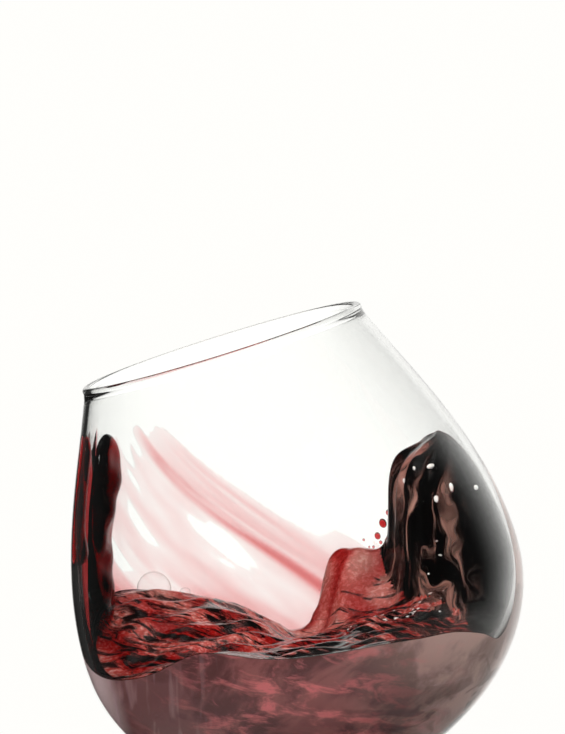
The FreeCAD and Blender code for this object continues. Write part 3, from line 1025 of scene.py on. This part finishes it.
# %% Camera
tilt, look_down, distance = radians(17.4), radians(4.1), 1.7
sensor, seen_height, aim_aside, aim_below_rim = 36, 0.1625, 11.6, 8.8
forward = Vector((0, cos(look_down), -sin(look_down)))
upright = Vector((0, sin(look_down), cos(look_down)))
right = Vector((1, 0, 0)) * cos(tilt) - upright * sin(tilt)
up = Vector((1, 0, 0)) * sin(tilt) + upright * cos(tilt)
back = -forward
aim = Vector((0, 0, rim_height * MM)) + Vector((aim_aside * MM, 0, 0)) - upright * aim_below_rim * MM
camera_data = bpy.data.cameras.new("camera")
camera_data.lens = sensor * distance / seen_height
camera_data.clip_start, camera_data.clip_end = 0.05, 50
camera = bpy.data.objects.new("camera", camera_data)
bpy.context.scene.collection.objects.link(camera)
bpy.context.scene.camera = camera
camera.matrix_world = Matrix((
    (right.x, up.x, back.x, 0), (right.y, up.y, back.y, 0), (right.z, up.z, back.z, 0), (0, 0, 0, 1)))
camera.location = aim - forward * distance
print(f"lens {camera_data.lens:.0f} mm, {distance} m away")

# %% [markdown]
# The floor is a pale disc that fades out round the glass, so no horizon shows. It's matt and its grain is
# only just there.

# %% Floor
floor_radius, floor_corners, fade_from, fade_to = 0.45, 96, 0.10, 0.42
floor_finish = new_finish("pale_floor")
spot = floor_finish.place()
reach = floor_finish.node("ShaderNodeVectorMath", {"operation": "LENGTH"}, [spot], output="Value")
grain = floor_finish.noise(spot, 90.0, 4.0)
floor_finish.set(
    Base_Color=floor_finish.mix(grain, (0.41, 0.405, 0.395, 1), (0.43, 0.425, 0.415, 1)),
    Roughness=0.85, Specular_IOR_Level=0.1, Alpha=1.0 - reach.smooth(fade_from, fade_to))
corners = np.linspace(0, 2 * pi, floor_corners, endpoint=False)
floor_mesh = bpy.data.meshes.new("floor")
floor_mesh.from_pydata(
    [(floor_radius * cos(a), floor_radius * sin(a), 0.0) for a in corners], [], [list(range(floor_corners))])
floor_mesh.materials.append(floor_finish.owner)
floor = bpy.data.objects.new("floor", floor_mesh)
bpy.context.scene.collection.objects.link(floor)
print(f"floor {2 * floor_radius} m across")

# %% [markdown]
# A glass is lit by what stands round it. Looked through, the surroundings are one bright wall, a little
# dimmer at both sides, overhead and underfoot, so the glass is clear. Mirrored, they are a window behind
# the glass and a soft ceiling in a dark room, so the wine keeps its black and shows crisp lights. The
# Light Path node tells the two apart. Froth behind glass gets only part of its light in the renderer, so
# the room is brighter for matt things.

# %% Surroundings
world = bpy.data.worlds.new("studio")
bpy.context.scene.world = world
studio = Recipe(world)
dx, dy, dz = studio.split(studio.node("ShaderNodeTexCoord", output="Generated"))
turned_to = dx.math("ARCTAN2", dy)  # 0 straight behind the glass, positive to the right
aside, height = turned_to.math("ABSOLUTE"), dz.math("ABSOLUTE")
window = turned_to.smooth(-0.26, -0.08) * (1.0 - turned_to.smooth(0.40, 1.30))
window = window * (1.0 - dz.smooth(0.30, 0.48)) * (1.0 - (-dz).smooth(0.35, 0.8) * 0.75)
side_card = aside.smooth(1.75, 1.90) * (1.0 - aside.smooth(2.10, 2.25))
through = (1.0 - side_card * 0.3 - height.smooth(0.6, 0.95) * 0.25) * 1.24
reflected = window * 0.97 + dz.smooth(0.72, 0.9) * 0.6 + 0.025
seen_straight = studio.node("ShaderNodeLightPath", output="Is Camera Ray")
mirrored = studio.node("ShaderNodeLightPath", output="Glossy Depth").smooth(0.0, 1.0)
matt = studio.node("ShaderNodeLightPath", output="Diffuse Depth").smooth(0.0, 1.0)
shade = through * (1.0 - mirrored) + reflected * mirrored
studio.set(
    "Background", Color=(1.0, 0.995, 0.97, 1),
    Strength=seen_straight + (1.0 - seen_straight) * shade * (matt * 1.5 + 1.0))
print("surroundings:", len(studio.tree.nodes), "nodes")

# %% [markdown]
# One soft box above and to the right of the camera gives the small bright lights on the lip and the
# surge.

# %% Soft box
box_place, box_target, box_power = Vector((0.60, -0.80, 0.70)), Vector((0, 0, 0.15)), 1.2
box_light = bpy.data.lights.new("upper_right_box", "AREA")
box_light.shape, box_light.energy = "RECTANGLE", box_power
box_light.size, box_light.size_y = 0.20, 0.28
box = bpy.data.objects.new("upper_right_box", box_light)
box.location = box_place
box.rotation_euler = (box_target - box_place).to_track_quat("-Z", "Y").to_euler()
box.visible_camera = False
bpy.context.scene.collection.objects.link(box)
bpy.context.scene.view_settings.view_transform = "Standard"
print(f"soft box of {box_power} W, {box_place.length:.2f} m from the glass")

# %% [markdown]
